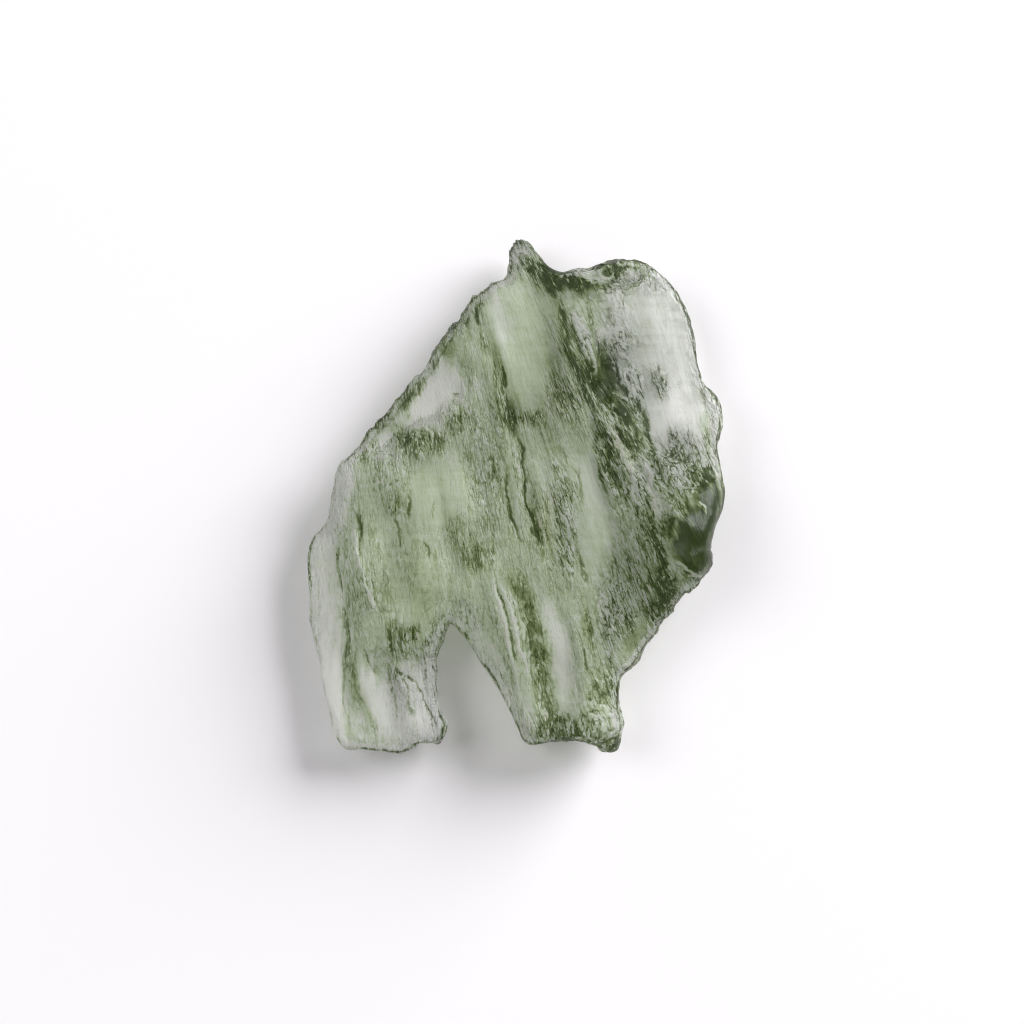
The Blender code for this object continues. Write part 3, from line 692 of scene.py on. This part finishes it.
    def square_shoulder(self, points: np.ndarray) -> np.ndarray:
        """Fills the rim's round upper shoulder, so that the face reaches the outline.

        Args:
            points: One row of x, y and z for each point of the rounded copy.

        Returns:
            The points, those of the shoulder moved out towards the outline.
        """
        moved = points.copy()
        for index in np.flatnonzero(points[:, 2] > self.shoulder_height):
            x, y, _ = points[index].tolist()
            (near_x, near_y, _), _, inwards = self.outline.find((x, y, 0.0))
            if 0.0 < inwards < self.shoulder:
                share = (inwards / self.shoulder) ** self.shoulder_power
                moved[index, 0] = near_x + (x - near_x) * share
                moved[index, 1] = near_y + (y - near_y) * share
        return moved

    def store(self, mesh: bpy.types.Mesh) -> None:
        """Writes what the finish reads into the mesh's attributes.

        Args:
            mesh: The finished shape, in millimetres.
        """
        paint = self.paint(*read_surface(mesh))
        flow = mesh.attributes.new("flow", "FLOAT_VECTOR", "POINT")
        flow.data.foreach_set("vector", paint.flow.astype(np.float32).ravel())
        for name in ("shade", "etch", "warmth", "mark", "offset"):
            attribute = mesh.attributes.new(name, "FLOAT", "POINT")
            attribute.data.foreach_set("value", getattr(paint, name).astype(np.float32))

    def paint(self, points: np.ndarray, normals: np.ndarray) -> Paint:
        """Works out every patch and stroke at the given points.

        Args:
            points: One row of x, y and z for each point.
            normals: The outward direction there.

        Returns:
            The colour, surface and relief at each point.
        """
        flow = self.flow.along(points)
        strayed = points[:, :2].copy()
        for reach, length in self.wander:
            size = (length, length * self.wander_stretch, length)
            for axis, shift in enumerate(self.wander_shifts):
                strayed[:, axis] += reach * noise_at(points, size, shift)
        paint = Paint(flow, *(np.zeros(len(points)) for _ in fields(Paint)[1:]))
        paint.etch += self.usual_etch
        paint.offset += self.stroke_reach
        for reach, width, length in self.frays:
            paint.fray += reach * noise_at(flow, (width, length, width), self.fray_shift)
        for patch in self.patches:
            self.add_patch(paint, patch, strayed)
        for stroke in self.strokes:
            self.add_stroke(paint, stroke, strayed)
        inwards = np.array([self.outline.find((x, y, 0.0))[2] for x, y, _ in points.tolist()])
        upper = np.clip(normals[:, 2] * self.upper_steepness, 0.0, 1.0)
        for ring in self.rings:
            self.add_ring(paint, ring, inwards, upper)
        self.add_contour(paint, inwards, upper)
        paint.etch += self.flank_etch * fade(normals[:, 2], *self.flank)
        paint.etch = np.clip(paint.etch, 0.0, 1.0)
        return paint

    def add_ring(self, paint: Paint, ring: Ring, inwards: np.ndarray, upper: np.ndarray) -> None:
        """Adds one band along the outline.

        Args:
            paint: What it is added to.
            ring: The band.
            inwards: How far in from the outline each point is.
            upper: From nothing to one, how far each point is on the upper side.
        """
        share = fade(np.abs(inwards - ring.inwards), ring.core, ring.reach)
        if ring.only_upper:
            share = share * upper
        paint.shade += share * ring.shade
        paint.etch += share * ring.etch
        paint.warmth += share * ring.warmth

    def add_contour(self, paint: Paint, inwards: np.ndarray, upper: np.ndarray) -> None:
        """Adds the thin dark line of the rim, which gives way to nearer strokes.

        Args:
            paint: What it is added to.
            inwards: How far in from the outline each point is.
            upper: From nothing to one, how far each point is on the upper side.
        """
        # The rim's thin dark line is painted shade.
        offset = (inwards - self.contour) / self.contour_width
        first = np.abs(offset) < np.abs(paint.offset)
        run = np.clip(self.contour_run + self.contour_gaps * paint.fray, 0.0, 1.0)
        mark = fade(np.abs(offset), self.stroke_core, self.stroke_reach) * upper * run
        paint.offset[first] = offset[first]
        paint.mark[first] = self.contour_shade * mark[first]

    def add_patch(self, paint: Paint, patch: Patch, places: np.ndarray) -> None:
        """Adds one patch.

        Args:
            paint: What it is added to.
            patch: The patch.
            places: Each point's place in plan, with its stray.
        """
        turn = math.radians(patch.turn)
        x, y = (places - patch.centre).T
        across = (x * math.cos(turn) + y * math.sin(turn)) / patch.radii[0]
        along = (y * math.cos(turn) - x * math.sin(turn)) / patch.radii[1]
        share = fade(np.hypot(across, along) + paint.fray, *self.patch_edge)
        paint.shade += share * patch.shade
        paint.etch += share * patch.etch
        paint.warmth += share * patch.warmth

    def add_stroke(self, paint: Paint, stroke: Stroke, places: np.ndarray) -> None:
        """Adds one ridge or groove, which thins out at its ends.

        Args:
            paint: What it is added to.
            stroke: The ridge or groove.
            places: Each point's place in plan, with its stray.
        """
        path = np.array(stroke.path)
        reach = self.stroke_reach * stroke.half_width
        lowest, highest = path.min(axis=0) - reach, path.max(axis=0) + reach
        near = np.flatnonzero(((places > lowest) & (places < highest)).all(axis=1))
        if not len(near):
            return
        lengths = np.hypot(*np.diff(path, axis=0).T)
        starts = np.concatenate(([0.0], np.cumsum(lengths)))
        nearest = np.full(len(near), np.inf)
        gone = np.zeros(len(near))
        side = np.ones(len(near))
        for start, end, length, before in zip(path[:-1], path[1:], lengths, starts):
            way = (end - start) / length
            apart = places[near] - start
            travel = np.clip(apart @ way, 0.0, length)
            distance = np.hypot(*(apart - travel[:, None] * way).T)
            closer = distance < nearest
            nearest[closer] = distance[closer]
            gone[closer] = (before + travel)[closer]
            side[closer] = np.sign(way[0] * apart[:, 1] - way[1] * apart[:, 0])[closer]
        offset = nearest / stroke.half_width
        taper = fade(np.abs(gone / starts[-1] - 0.5), *self.stroke_ends)
        paint.relief[near] += np.exp(-(offset**2)) * taper * stroke.height
        first = offset < np.abs(paint.offset[near])
        paint.offset[near[first]] = (side * offset)[first]
        mark = stroke.shade * taper * fade(offset, self.stroke_core, self.stroke_reach)
        paint.mark[near[first]] = mark[first]


def read_surface(mesh: bpy.types.Mesh) -> tuple[np.ndarray, np.ndarray]:
    """Reads where a mesh's vertices are and which way its surface faces there.

    Args:
        mesh: The mesh.

    Returns:
        One row of x, y and z for each vertex, and one row with its outward direction.
    """
    rows = []
    for name in ("co", "normal"):
        numbers = np.empty(len(mesh.vertices) * 3, np.float32)
        mesh.vertices.foreach_get(name, numbers)
        rows.append(numbers.reshape(-1, 3).astype(float))
    return rows[0], rows[1]


# How many finer layers the noise of the finish has, and how far it is swirled.
NOISE_DETAIL = 1.0
NOISE_SWIRL = 0.4

Settings = dict[str, object]
Inputs = dict[str | int, object]


@dataclass(frozen=True)
class Value:
    """A shader socket on which Python's operators build Math nodes."""

    shader: "Shader"
    socket: bpy.types.NodeSocket

    def maths(self, operation: str, *numbers: "Value | float", clamp: bool = False) -> "Value":
        """Adds one Math node.

        Args:
            operation: The node's operation.
            numbers: Its sockets' values, this one's own among them.
            clamp: Whether the result is kept between nothing and one.

        Returns:
            The node's result.
        """
        settings = {"operation": operation, "use_clamp": clamp}
        return self.shader.value("ShaderNodeMath", settings, dict(enumerate(numbers)))

    def __add__(self, other: "Value | float") -> "Value":
        """Adds."""
        return self.maths("ADD", self, other)

    def __sub__(self, other: "Value | float") -> "Value":
        """Subtracts."""
        return self.maths("SUBTRACT", self, other)

    def __rsub__(self, other: "Value | float") -> "Value":
        """Subtracts from a number."""
        return self.maths("SUBTRACT", other, self)

    def __mul__(self, other: "Value | float") -> "Value":
        """Multiplies."""
        return self.maths("MULTIPLY", self, other)

    __radd__ = __add__
    __rmul__ = __mul__

    def line(self, thinness: float, core: float = 1.2) -> "Value":
        """Gives one where the value crosses nothing, falling to nothing beside it."""
        return self.maths("SUBTRACT", core, self.maths("ABSOLUTE", self) * thinness, clamp=True)

    def peak(self, start: float, steepness: float) -> "Value":
        """Gives nothing up to a start, then rises steeply to one."""
        return self.maths("MULTIPLY", self - start, steepness, clamp=True)

    def kept(self, low: float, high: float) -> "Value":
        """Keeps the value between two limits."""
        return self.maths("MAXIMUM", self.maths("MINIMUM", self, high), low)


class Shader:
    """Builds the nodes of one material."""

    def __init__(self, name: str) -> None:
        """Starts a material with a plain surface.

        Args:
            name: The material's name.
        """
        self.material = bpy.data.materials.new(name)
        self.material.use_nodes = True
        self.tree = self.material.node_tree
        self.surface = self.tree.nodes["Principled BSDF"]
        self.output = self.tree.nodes["Material Output"]

    def node(self, kind: str, settings: Settings, inputs: Inputs) -> bpy.types.Node:
        """Adds a node: its settings first, then its sockets.

        Args:
            kind: The node's type.
            settings: The node's properties. The entry "stops" has a ramp's places and colours.
            inputs: Each socket's value, or what is linked to it.

        Returns:
            The node.
        """
        made = self.tree.nodes.new(kind)
        for name, setting in settings.items():
            if name == "stops":
                self.set_stops(made.color_ramp, setting)
            else:
                setattr(made, name, setting)
        self.fill(made, inputs)
        return made

    def fill(self, node: bpy.types.Node, inputs: Inputs) -> None:
        """Sets or links a node's sockets.

        Args:
            node: The node.
            inputs: Each socket's value, or what is linked to it.
        """
        for name, given in inputs.items():
            if isinstance(given, Value):
                self.tree.links.new(given.socket, node.inputs[name])
            else:
                node.inputs[name].default_value = given

    def set_stops(self, ramp: bpy.types.ColorRamp, stops: tuple[tuple[float, tuple], ...]) -> None:
        """Gives a ramp its stops.

        Args:
            ramp: The ramp.
            stops: Each stop's place and linear colour.
        """
        while len(ramp.elements) < len(stops):
            ramp.elements.new(1.0)
        for element, (place, colour) in zip(ramp.elements, stops):
            element.position = place
            element.color = (*colour, 1.0)

    def value(self, kind: str, settings: Settings, inputs: Inputs) -> Value:
        """Adds a node and gives its first result."""
        return Value(self, self.node(kind, settings, inputs).outputs[0])

    def attribute(self, name: str) -> Value:
        """Reads a number that the mesh holds for each vertex."""
        node = self.node("ShaderNodeAttribute", {"attribute_name": name}, {})
        return Value(self, node.outputs["Fac"])

    def flow_noise(self, size: tuple[float, float, float], shift: float) -> Value:
        """Reads noise that is drawn out along the stone's flow.

        Args:
            size: The size of its lumps across the flow, along it and in depth, in millimetres.
            shift: Sets it apart from the others.

        Returns:
            The noise, between -1 and 1 about nothing.
        """
        flow = self.node("ShaderNodeAttribute", {"attribute_name": "flow"}, {})
        place = self.value("ShaderNodeMapping", {}, {
            "Vector": Value(self, flow.outputs["Vector"]),
            "Location": (shift, shift, shift),
            "Scale": tuple(1.0 / length for length in size),
        })
        noise_inputs = {"Vector": place, "Scale": 1.0, "Detail": NOISE_DETAIL, "Distortion": NOISE_SWIRL}
        return (self.value("ShaderNodeTexNoise", {}, noise_inputs) - 0.5) * 2.0


class Form(Enum):
    """What is made of a grain's noise."""

    SOFT = "soft"
    LINE = "line"
    FLECK = "fleck"


@dataclass(frozen=True)
class Grain:
    """One fine pattern of the glass's skin, drawn out along the stone's flow.

    Attributes:
        name: What it looks like.
        form: What is made of its noise.
        size: The size of its lumps across the flow, along it and in depth.
        shift: Sets it apart from the others.
        deeper: How much deeper in colour it is on smooth glass, and how much more on etched glass.
        lift: How far it stands out on smooth glass, and how much more on etched glass.
        start: Where in its noise a fleck starts.
        steepness: How thin its lines are, or how fast a fleck sets in.
    """

    name: str
    form: Form
    size: tuple[float, float, float]
    shift: float
    deeper: tuple[float, float]
    lift: tuple[float, float] = (0.0, 0.0)
    start: float = 0.0
    steepness: float = 1.0

    def pattern(self, grain_noise: Value) -> Value:
        """Turns the grain's noise into its pattern."""
        if self.form is Form.LINE:
            return grain_noise.line(self.steepness)
        if self.form is Form.FLECK:
            return grain_noise.peak(self.start, self.steepness)
        return grain_noise


# The dark lines of threads, dashes and squiggles are painted shade in the creases that they cut; the last
# grain is painted glints.
GRAINS = (
    Grain("streaks", Form.SOFT, (0.6, 4.5, 1.0), 3.0, (0.5, 0.3)),
    Grain("crossing", Form.SOFT, (2.5, 0.3, 0.6), 51.0, (0.35, -0.35)),
    Grain("threads", Form.LINE, (0.36, 3.0, 0.7), 11.0, (0.2, 0.6), (-0.05, -0.4), steepness=9.0),
    Grain("dashes", Form.LINE, (0.18, 0.95, 0.4), 23.0, (0.15, 1.15), (-0.02, -0.5), steepness=7.0),
    Grain("squiggles", Form.LINE, (0.22, 0.3, 0.3), 37.0, (0.18, 0.6), (-0.02, -0.4), steepness=7.0),
    # painted glints: pale, slightly raised specks
    Grain("painted_glints", Form.FLECK, (0.15, 0.42, 0.3), 67.0, (-0.1, -2.0), (0.02, 0.4), 0.16, 6.0),
)


@dataclass(frozen=True)
class EtchedGlass:
    """Natural green glass with an etched skin.

    Attributes:
        clearness: The share of light that goes through the surface and isn't scattered there.
        bending: Its refractive index.
        absorbed: What colour a metre of it would keep, for the volume.
        density: How strongly it absorbs, for each metre.
        tones: Depths of shade, palest first, and the skin's colour at each.
        grains: The fine patterns.
        evenness: How much paler the skin is, so that the painted shade of the dark lines keeps its middle
            tone: on smooth glass, and how much more on etched glass.
        stroke_fray, frayed_by: How far a grain's noise frays a stroke's edges, and which grain's.
        stroke_core, stroke_strength: How wide a stroke's line is, and how much of its painted shade or
            highlight it has.
        shine: Strength of the scattering skin's reflection, half being what the index gives.
        glints: How much of the clear glass's reflection is kept.
        greying, dark_green: How much of its green the greyest glass loses, and how much of that
            loss the darkest glass is spared.
        olive, tint: The colour that warmth mixes in, and how much of it.
        smooth_skin, etched_skin: Roughness of smooth and of strongly etched glass.
        gloss, gloss_skin: Strength and roughness of the wet shine on top.
        creases: Height of the fine patterns, in metres.
    """

    clearness: float = 0.78
    bending: float = 1.49
    absorbed: tuple[float, float, float] = (0.52, 0.60, 0.38)
    density: float = 20.0
    tones: tuple[tuple[float, tuple[float, float, float]], ...] = (
        (-1.0, (1.0, 1.0, 0.98)),
        (-0.6, (0.92, 0.93, 0.88)),
        (-0.25, (0.77, 0.83, 0.70)),
        (0.15, (0.62, 0.70, 0.52)),
        (0.6, (0.40, 0.47, 0.27)),
        (1.2, (0.16, 0.21, 0.08)),
        (2.0, (0.04, 0.065, 0.015)),
    )
    grains: tuple[Grain, ...] = GRAINS
    evenness: tuple[float, float] = (0.14, 0.25)
    frayed_by: str = "squiggles"
    stroke_fray: float = 1.5
    stroke_core: float = 1.5
    stroke_strength: float = 1.4
    shine: float = 0.06
    glints: tuple[float, float, float] = (0.35, 0.35, 0.35)
    greying: float = 0.8
    dark_green: float = 0.6
    olive: tuple[float, float, float] = (1.0, 0.99, 0.8)
    tint: float = 0.8
    smooth_skin: float = 0.28
    etched_skin: float = 0.36
    gloss: float = 0.03
    gloss_skin: float = 0.1
    creases: float = 0.00012

    def material(self) -> bpy.types.Material:
        """Builds the finish.

        Returns:
            The stone's material.
        """
        shader = Shader("moldavite_glass")
        etch = shader.attribute("etch")
        warmth = shader.attribute("warmth")
        noises = {grain.name: shader.flow_noise(grain.size, grain.shift) for grain in self.grains}
        # The strokes and the rim's thin line add painted shade and painted highlights.
        offset = shader.attribute("offset") + noises[self.frayed_by] * self.stroke_fray
        strokes = shader.attribute("mark") * offset.line(1.0, self.stroke_core) * self.stroke_strength
        smooth, etched = self.evenness
        shade = shader.attribute("shade") + strokes - (smooth + etched * etch)
        height = 0.0
        for grain in self.grains:
            pattern = grain.pattern(noises[grain.name])
            smooth, etched = grain.deeper
            shade = shade + pattern * (smooth + etched * etch)
            if any(grain.lift):
                smooth, etched = grain.lift
                height = height + pattern * (smooth + etched * etch)
        palest, deepest = self.tones[0][0], self.tones[-1][0]
        span = deepest - palest
        stops = tuple(((depth - palest) / span, colour) for depth, colour in self.tones)
        depth = (shade * (1.0 / span) - palest / span).kept(0.0, 1.0)
        skin = shader.value("ShaderNodeValToRGB", {"stops": stops}, {"Fac": depth})
        skin = self.greyed(shader, skin, (warmth * -1.0).kept(0.0, 1.0) * (1.0 - depth * self.dark_green))
        skin = self.tinted(shader, skin, self.olive, warmth.kept(0.0, 1.0))
        normal = shader.value("ShaderNodeBump", {}, {
            "Strength": 1.0,
            "Distance": self.creases,
            "Height": height,
        })
        shader.fill(shader.surface, {
            "Base Color": skin,
            "Roughness": self.smooth_skin + (self.etched_skin - self.smooth_skin) * etch,
            "IOR": self.bending,
            "Specular IOR Level": self.shine,
            "Specular Tint": (*self.glints, 1.0),
            "Transmission Weight": self.clearness,
            "Coat Weight": self.gloss,
            "Coat Roughness": self.gloss_skin,
            "Normal": normal,
        })
        volume = shader.value("ShaderNodeVolumeAbsorption", {}, {
            "Color": (*self.absorbed, 1.0),
            "Density": self.density,
        })
        shader.fill(shader.output, {"Volume": volume})
        return shader.material

    def greyed(self, shader: Shader, skin: Value, share: Value) -> Value:
        """Takes part of a colour's green away and keeps its lightness.

        Args:
            shader: Where the nodes go.
            skin: The colour.
            share: How much of the full greying there is, from nothing to one.

        Returns:
            The greyer colour.
        """
        plain = shader.value("ShaderNodeRGBToBW", {}, {"Color": skin})
        mixed = shader.node("ShaderNodeMix", {"data_type": "RGBA"}, {
            "Factor": share * self.greying,
            "A": skin,
            "B": plain,
        })
        return Value(shader, mixed.outputs["Result"])

    def tinted(self, shader: Shader, skin: Value, tint: tuple[float, float, float], share: Value) -> Value:
        """Leans a colour to a tint without making it lighter or darker.

        Args:
            shader: Where the nodes go.
            skin: The colour.
            tint: The tint.
            share: How much of the tint there is, from nothing to one.

        Returns:
            The leaned colour.
        """
        middle = max(tint)
        even = tuple(channel / middle for channel in tint)
        leaned = shader.node("ShaderNodeMix", {"data_type": "RGBA", "blend_type": "MULTIPLY"}, {
            "Factor": share * self.tint,
            "A": skin,
            "B": (*even, 1.0),
        })
        return Value(shader, leaned.outputs["Result"])


@dataclass(frozen=True)
class SoftLight:
    """A round soft light that faces the stone.

    Attributes:
        name: Its name.
        turn: Its direction in plan, degrees anticlockwise from the right.
        height: Its height above the floor, in degrees.
        distance: Its distance, in metres.
        size: Its width, in metres.
        share: What it adds to the brightness of a perfectly white level surface.
        only_stone: Whether it leaves the floor alone.
    """

    name: str
    turn: float
    height: float
    distance: float
    size: float
    share: float
    only_stone: bool = False

    def build(self, stone: bpy.types.Object) -> None:
        """Places the light.

        Args:
            stone: The finished stone.
        """
        turn, height = math.radians(self.turn), math.radians(self.height)
        level = math.cos(height)
        towards = Vector((level * math.cos(turn), level * math.sin(turn), math.sin(height)))
        light = bpy.data.lights.new(self.name, "AREA")
        light.shape = "DISK"
        light.size = self.size
        # A disk's light on its axis falls with this, and a level floor catches it at a slant.
        spread = self.distance**2 + (self.size / 2.0) ** 2
        light.energy = self.share * math.pi**2 * spread / math.sin(height)
        holder = bpy.data.objects.new(self.name, light)
        holder.visible_camera = False
        holder.location = towards * self.distance
        holder.rotation_euler = towards.to_track_quat("Z", "Y").to_euler()
        bpy.context.scene.collection.objects.link(holder)
        if self.only_stone:
            lit = bpy.data.collections.new(f"lit_by_{self.name}")
            lit.objects.link(stone)
            holder.light_linking.receiver_collection = lit


@dataclass
class Studio:
    """The pale floor, the soft light and the camera that looks straight down.

    Attributes:
        floor_size: The floor's width, in metres.
        floor_gap: How far it lies under the stone, in millimetres.
        floor_skin: Its roughness.
        floor_tone: How much light it gives back. It is a little short of green, because the light
            that comes through the stone has too much of it.
        sky: Strength of the even light from all round.
        lights: The soft lights.
        lens: The camera's focal length, in millimetres.
        sensor: Its sensor's width, in millimetres.
        view_width: What it shows across at the height it is focused on, in metres.
        bounces: How often light is followed through the stone and off the floor.
        brightest: The most that one scattered ray adds, which keeps stray specks out.
        pixel_blur: How wide the camera's pixels blend, in pixels.
        aim: The point that it looks at, in metres.
    """

    floor_size: float = 2.0
    floor_gap: float = 0.01
    floor_skin: float = 0.9
    floor_tone: tuple[float, float, float] = (0.96, 0.935, 0.965)
    sky: float = 0.27
    lights: tuple[SoftLight, ...] = (
        SoftLight("key", turn=38.0, height=21.0, distance=1.2, size=1.0, share=0.62),
        SoftLight("fill", turn=160.0, height=50.0, distance=1.5, size=0.9, share=0.18),
        SoftLight("top", turn=200.0, height=70.0, distance=1.2, size=1.4, share=0.34, only_stone=True),
    )
    lens: float = 100.0
    sensor: float = 36.0
    view_width: float = 0.0512
    bounces: int = 8
    pixel_blur: float = 1.0
    brightest: float = 3.0
    aim: tuple[float, float, float] = (-0.00015, -0.000775, 0.00135)

    def build(self, stone: bpy.types.Object) -> None:
        """Makes the floor, the light and the camera.

        Args:
            stone: The finished stone.
        """
        self.make_floor()
        self.make_lights(stone)
        self.make_camera()

    def make_floor(self) -> None:
        """Lays the floor just under the stone."""
        shape = bmesh.new()
        bmesh.ops.create_grid(shape, x_segments=1, y_segments=1, size=self.floor_size / 2.0)
        bmesh.ops.translate(shape, verts=shape.verts, vec=(0.0, 0.0, -self.floor_gap * MM))
        mesh = bpy.data.meshes.new("floor")
        shape.to_mesh(mesh)
        shape.free()
        floor = bpy.data.objects.new("floor", mesh)
        bpy.context.scene.collection.objects.link(floor)
        shader = Shader("pale_floor")
        shader.fill(shader.surface, {
            "Base Color": (*self.floor_tone, 1.0),
            "Roughness": self.floor_skin,
            "Specular IOR Level": 0.0,
        })
        mesh.materials.append(shader.material)

    def make_lights(self, stone: bpy.types.Object) -> None:
        """Sets the even light and the soft lights.

        Args:
            stone: The finished stone.
        """
        world = bpy.data.worlds.new("studio")
        world.use_nodes = True
        world.node_tree.nodes["Background"].inputs["Color"].default_value = (1.0, 1.0, 1.0, 1.0)
        world.node_tree.nodes["Background"].inputs["Strength"].default_value = self.sky
        bpy.context.scene.world = world
        for light in self.lights:
            light.build(stone)

    def make_camera(self) -> None:
        """Hangs the camera over the stone, looking straight down."""
        data = bpy.data.cameras.new("camera")
        data.lens = self.lens
        data.sensor_width = self.sensor
        data.clip_start = MM
        camera = bpy.data.objects.new("camera", data)
        camera.location = Vector(self.aim) + Vector((0.0, 0.0, self.view_width * self.lens / self.sensor))
        bpy.context.scene.collection.objects.link(camera)
        bpy.context.scene.camera = camera
        bpy.context.scene.view_settings.view_transform = "Standard"
        bpy.context.scene.cycles.sample_clamp_indirect = self.brightest
        bpy.context.scene.cycles.max_bounces = self.bounces
        bpy.context.scene.cycles.transmission_bounces = self.bounces
        bpy.context.scene.cycles.filter_width = self.pixel_blur


def main() -> None:
    """Builds the stone and its studio."""
    logging.basicConfig(level=logging.INFO, format="%(name)s: %(message)s")
    stone = EtchedStone().build(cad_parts[NODE], EtchedGlass().material())
    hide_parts(NODE)
    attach(stone, BODY)
    log.info("%s has %d faces", stone.name, len(stone.data.polygons))
    Studio().build(stone)
    log.info("the floor, the light and the camera are in place")


if __name__ == "__main__":
    main()
